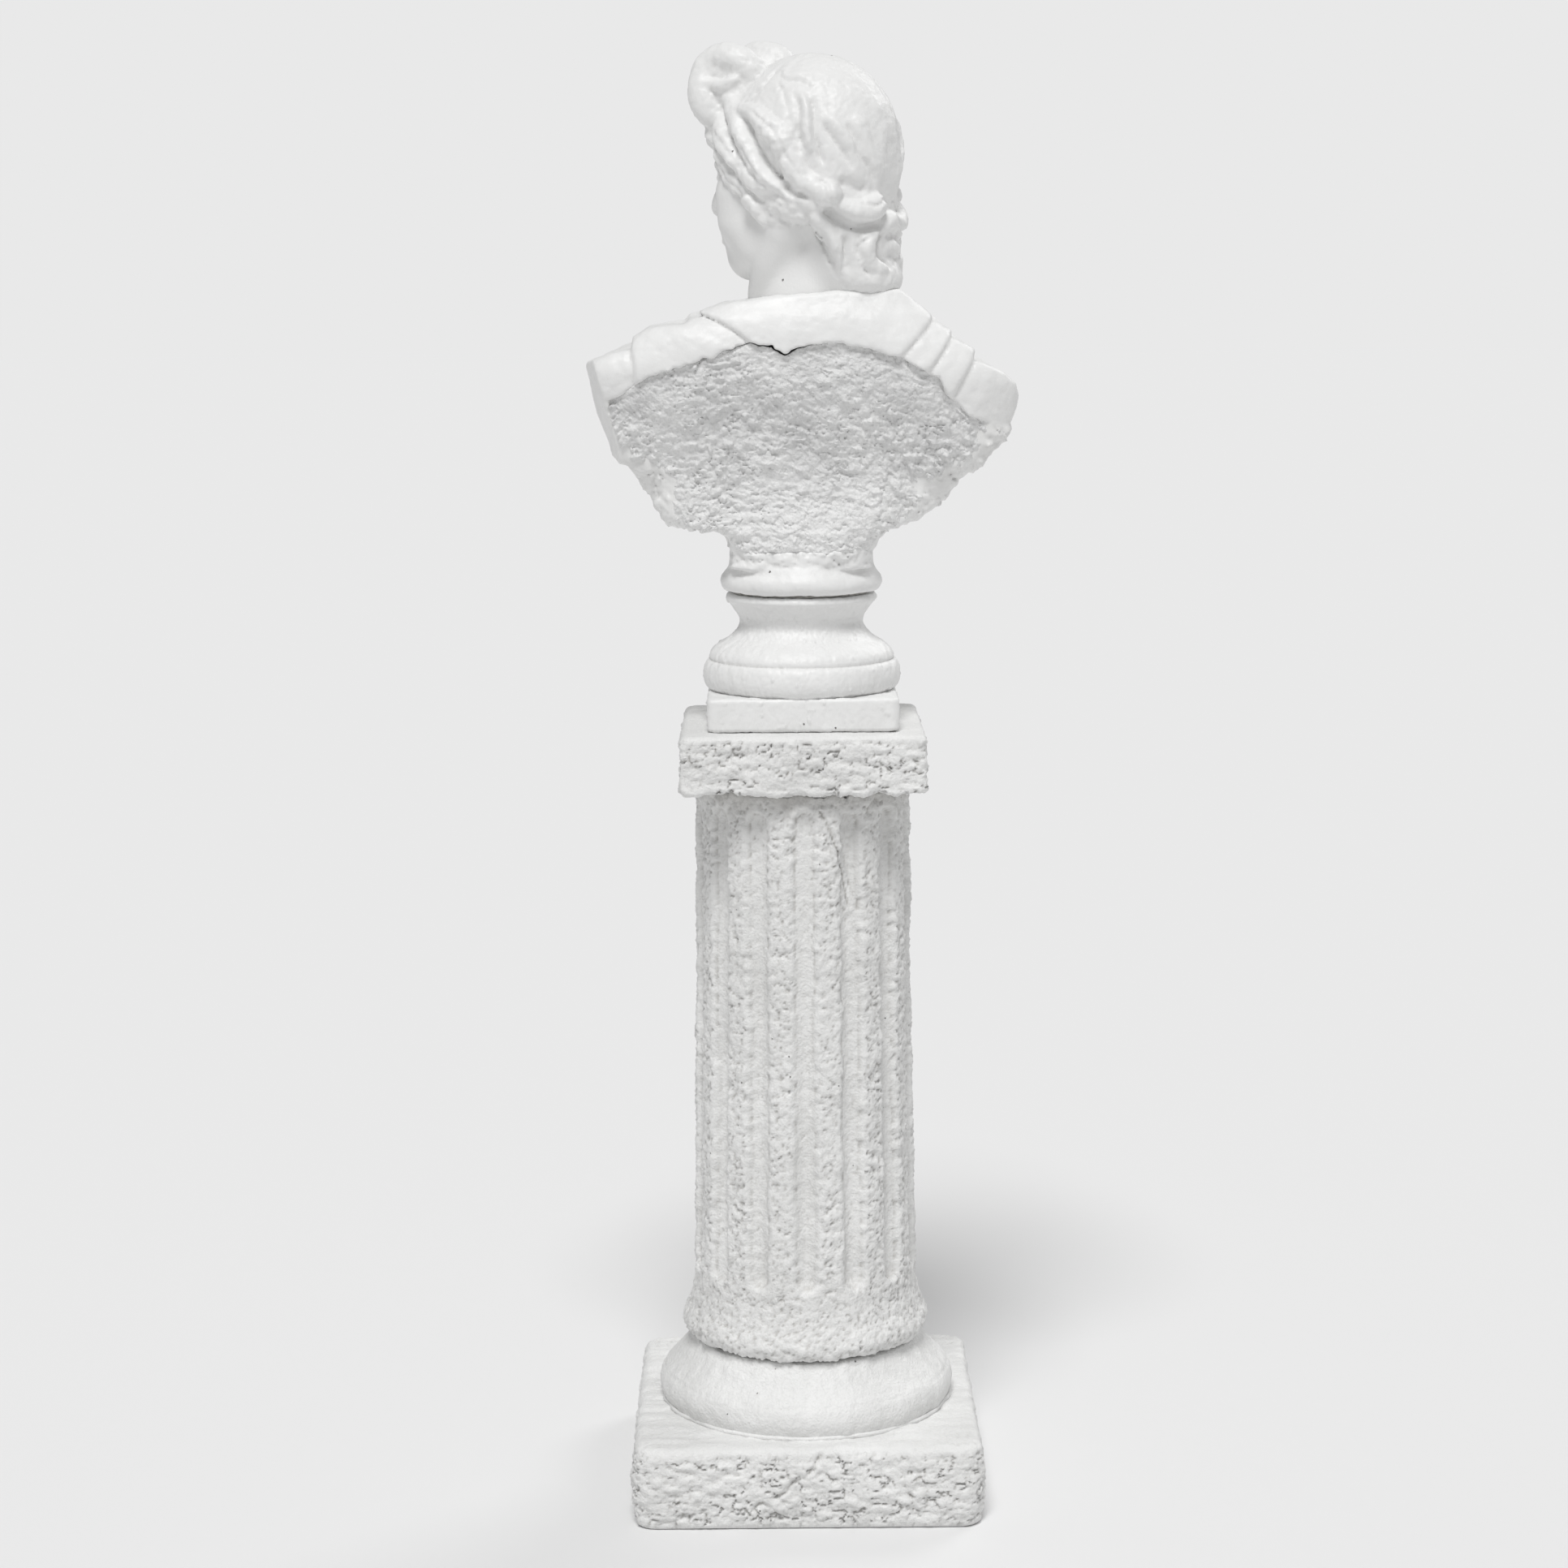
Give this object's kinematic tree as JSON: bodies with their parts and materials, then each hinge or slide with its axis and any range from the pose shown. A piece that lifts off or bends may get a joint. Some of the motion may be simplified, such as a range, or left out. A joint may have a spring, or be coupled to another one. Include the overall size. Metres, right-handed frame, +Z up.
{
  "type": "bust on a column",
  "caption": "Draped white bust with its head turned, on a turned socle that stands loose on a fluted round column with a square base.",
  "frame": {"origin": "centre of the underside of the square base plinth", "axes": "+Z up; the chest faces -Y and the rough back faces +Y; +X is the bust's own left, where its face is turned"},
  "size_m": [0.1755, 0.145, 0.5981],
  "materials": {
    "cast_stone": "sandy cast stone under white paint, matt",
    "plaster": "smooth cast plaster under white paint, satin",
    "rough_fill": "trowelled by hand and painted white, matt",
    "mortar": "bare mortar, matt",
    "steel": "plain steel bar"
  },
  "bodies": {
    "column": {"base_plinth": "cast_stone", "plinth_mortar": "mortar", "base_moulding": "cast_stone", "base_mortar": "mortar", "shaft": "cast_stone", "cap_mortar": "mortar", "abacus": "cast_stone", "column_rod": "steel"},
    "loose_dowel": {"locating_dowel": "steel"},
    "bust": {"socle": "plaster", "socle_plaster": "mortar", "bust_dowel": "steel", "torso": "plaster", "back_fill": "rough_fill", "head": "plaster", "neck_plaster": "mortar", "neck_dowel": "steel"}
  },
  "joints": [
    {"name": "bust_turn", "type": "hinge", "parent": "column", "child": "loose_dowel", "pos_m": [0, 0, 0.3245], "axis": [0, 0, 1], "continuous": true},
    {"name": "bust_lift_off", "type": "slide", "parent": "loose_dowel", "child": "bust", "axis": [0, 0, 1], "range_m": [0, 0.06]}
  ]
}
